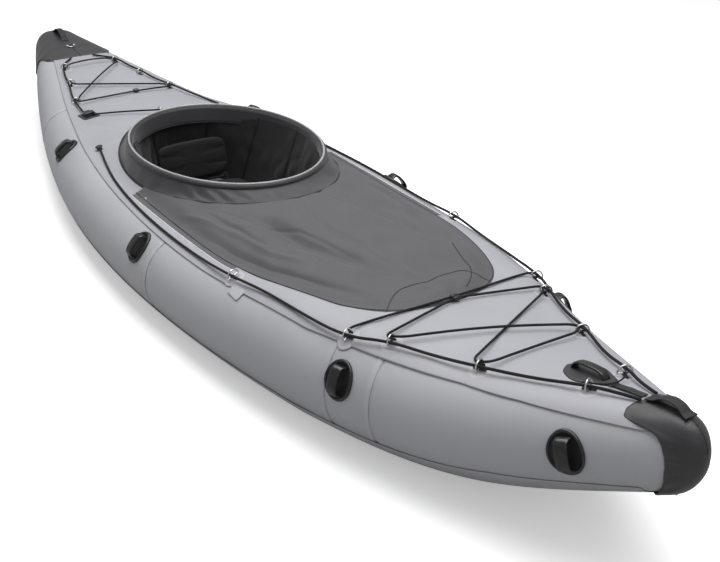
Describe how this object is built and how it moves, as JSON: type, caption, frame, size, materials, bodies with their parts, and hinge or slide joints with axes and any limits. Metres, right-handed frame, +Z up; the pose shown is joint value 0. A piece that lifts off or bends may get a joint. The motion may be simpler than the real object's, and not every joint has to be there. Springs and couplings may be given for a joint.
{
  "type": "inflatable kayak",
  "caption": "Inflatable single-seat kayak with two round side tubes, laced decks, a fabric cockpit cover with a raised coaming, grab handles and end caps.",
  "frame": {"origin": "on the ground under the middle of the hull's length and width", "axes": "+X to the bow, +Y to port, +Z up"},
  "size_m": [3.6, 0.9254, 0.4182],
  "materials": {
    "tube_pvc": "satin",
    "bottom_pvc": "satin",
    "floor_pvc": "satin",
    "deck_pvc": "satin",
    "cover_fabric": "satin",
    "hoop_sleeve": "satin",
    "piping": "satin",
    "liner_fabric": "matte",
    "hem_band": "matte",
    "cap_fabric": "matte",
    "grip_rubber": "satin",
    "webbing": "matte",
    "handle_rubber": "satin",
    "patch_pvc": "satin",
    "tab_webbing": "matte",
    "ring_steel": "satin",
    "line_cord": "matte",
    "bungee_cord": "matte",
    "black_plastic": "satin",
    "pad_pvc": "satin",
    "valve_plastic": "satin",
    "stem_plastic": "satin",
    "seat_fabric": "matte",
    "fitting_plastic": "satin"
  },
  "bodies": {
    "hull": {"bottom_skin": "bottom_pvc", "bow_cap": "cap_fabric", "bow_cap_band": "webbing", "bow_deck": "deck_pvc", "bow_grip": "grip_rubber", "bow_patch": "grip_rubber", "bow_strap": "webbing", "buckle_body": "black_plastic", "buckle_pad": "pad_pvc", "bungee_aft_1": "bungee_cord", "bungee_aft_2": "bungee_cord", "bungee_aft_3": "bungee_cord", "bungee_aft_4": "bungee_cord", "bungee_aft_5": "bungee_cord", "bungee_fore_1": "bungee_cord", "bungee_fore_2": "bungee_cord", "bungee_fore_3": "bungee_cord", "bungee_fore_4": "bungee_cord", "bungee_fore_5": "bungee_cord", "bungee_fore_6": "bungee_cord", "coaming_collar": "cover_fabric", "coaming_hoop": "hoop_sleeve", "coaming_piping": "piping", "cockpit_cover": "cover_fabric", "cockpit_liner": "liner_fabric", "cover_hem_bands": "hem_band", "deck_rings": "ring_steel", "floor_chamber": "floor_pvc", "foot_rails": "fitting_plastic", "handle_bars": "handle_rubber", "handle_bases": "handle_rubber", "handle_posts": "handle_rubber", "line_bow_left": "line_cord", "line_bow_right": "line_cord", "line_stern_left": "line_cord", "line_stern_right": "line_cord", "line_stops": "black_plastic", "ring_patches": "patch_pvc", "ring_tabs": "tab_webbing", "seat_cushion": "seat_fabric", "seat_lugs": "fitting_plastic", "side_decks": "deck_pvc", "side_tube_left": "tube_pvc", "side_tube_right": "tube_pvc", "slide_clips": "black_plastic", "stern_band": "webbing", "stern_cap": "cap_fabric", "stern_deck": "deck_pvc", "valve_bodies": "valve_plastic"},
    "stern_ring_body": {"stern_ring": "ring_steel"},
    "buckle_lever_body": {"buckle_lever": "black_plastic"},
    "backrest": {"backrest_frame": "fitting_plastic", "backrest_pad": "seat_fabric"},
    "footrest_slider": {"footrest": "fitting_plastic"},
    "valve_cap_left_body": {"valve_cap_left": "valve_plastic"},
    "valve_stem_left_body": {"valve_stem_left": "stem_plastic"},
    "valve_cap_right_body": {"valve_cap_right": "valve_plastic"},
    "valve_stem_right_body": {"valve_stem_right": "stem_plastic"},
    "valve_cap_floor_body": {"valve_cap_floor": "valve_plastic"},
    "valve_stem_floor_body": {"valve_stem_floor": "stem_plastic"}
  },
  "joints": [
    {"name": "valve_cap_left_twist", "type": "hinge", "parent": "hull", "child": "valve_cap_left_body", "pos_m": [0.42, 0.22829, 0.22956], "axis": [-0.1131, -0.6117, 0.783], "range_deg": [0, 90]},
    {"name": "valve_stem_left_press", "type": "slide", "parent": "hull", "child": "valve_stem_left_body", "axis": [0.1131, 0.6117, -0.783], "range_m": [0, 0.005], "stiffness_N_per_m": 300},
    {"name": "valve_cap_right_twist", "type": "hinge", "parent": "hull", "child": "valve_cap_right_body", "pos_m": [0.42, -0.22829, 0.22956], "axis": [-0.1131, 0.6117, 0.783], "range_deg": [0, 90]},
    {"name": "valve_stem_right_press", "type": "slide", "parent": "hull", "child": "valve_stem_right_body", "axis": [0.1131, -0.6117, -0.783], "range_m": [0, 0.005], "stiffness_N_per_m": 300},
    {"name": "valve_cap_floor_twist", "type": "hinge", "parent": "hull", "child": "valve_cap_floor_body", "pos_m": [0.3, 0, 0.077], "axis": [0, 0, 1], "range_deg": [0, 90]},
    {"name": "valve_stem_floor_press", "type": "slide", "parent": "hull", "child": "valve_stem_floor_body", "axis": [0, 0, -1], "range_m": [0, 0.005], "stiffness_N_per_m": 300},
    {"name": "stern_ring_swing", "type": "hinge", "parent": "hull", "child": "stern_ring_body", "pos_m": [-1.55929, 0, 0.29943], "axis": [0, 1, 0], "range_deg": [-150, 0]},
    {"name": "buckle_lever_open", "type": "hinge", "parent": "hull", "child": "buckle_lever_body", "pos_m": [-0.833, -0.19134, 0.25501], "axis": [-0.009, 0.9937, 0.1116], "range_deg": [0, 100]},
    {"name": "backrest_tilt", "type": "hinge", "parent": "hull", "child": "backrest", "pos_m": [-0.395, 0, 0.109], "axis": [0, 1, 0], "range_deg": [-18, 38]},
    {"name": "footrest_slide", "type": "slide", "parent": "hull", "child": "footrest_slider", "axis": [1, 0, 0], "range_m": [-0.15, 0.15]}
  ]
}
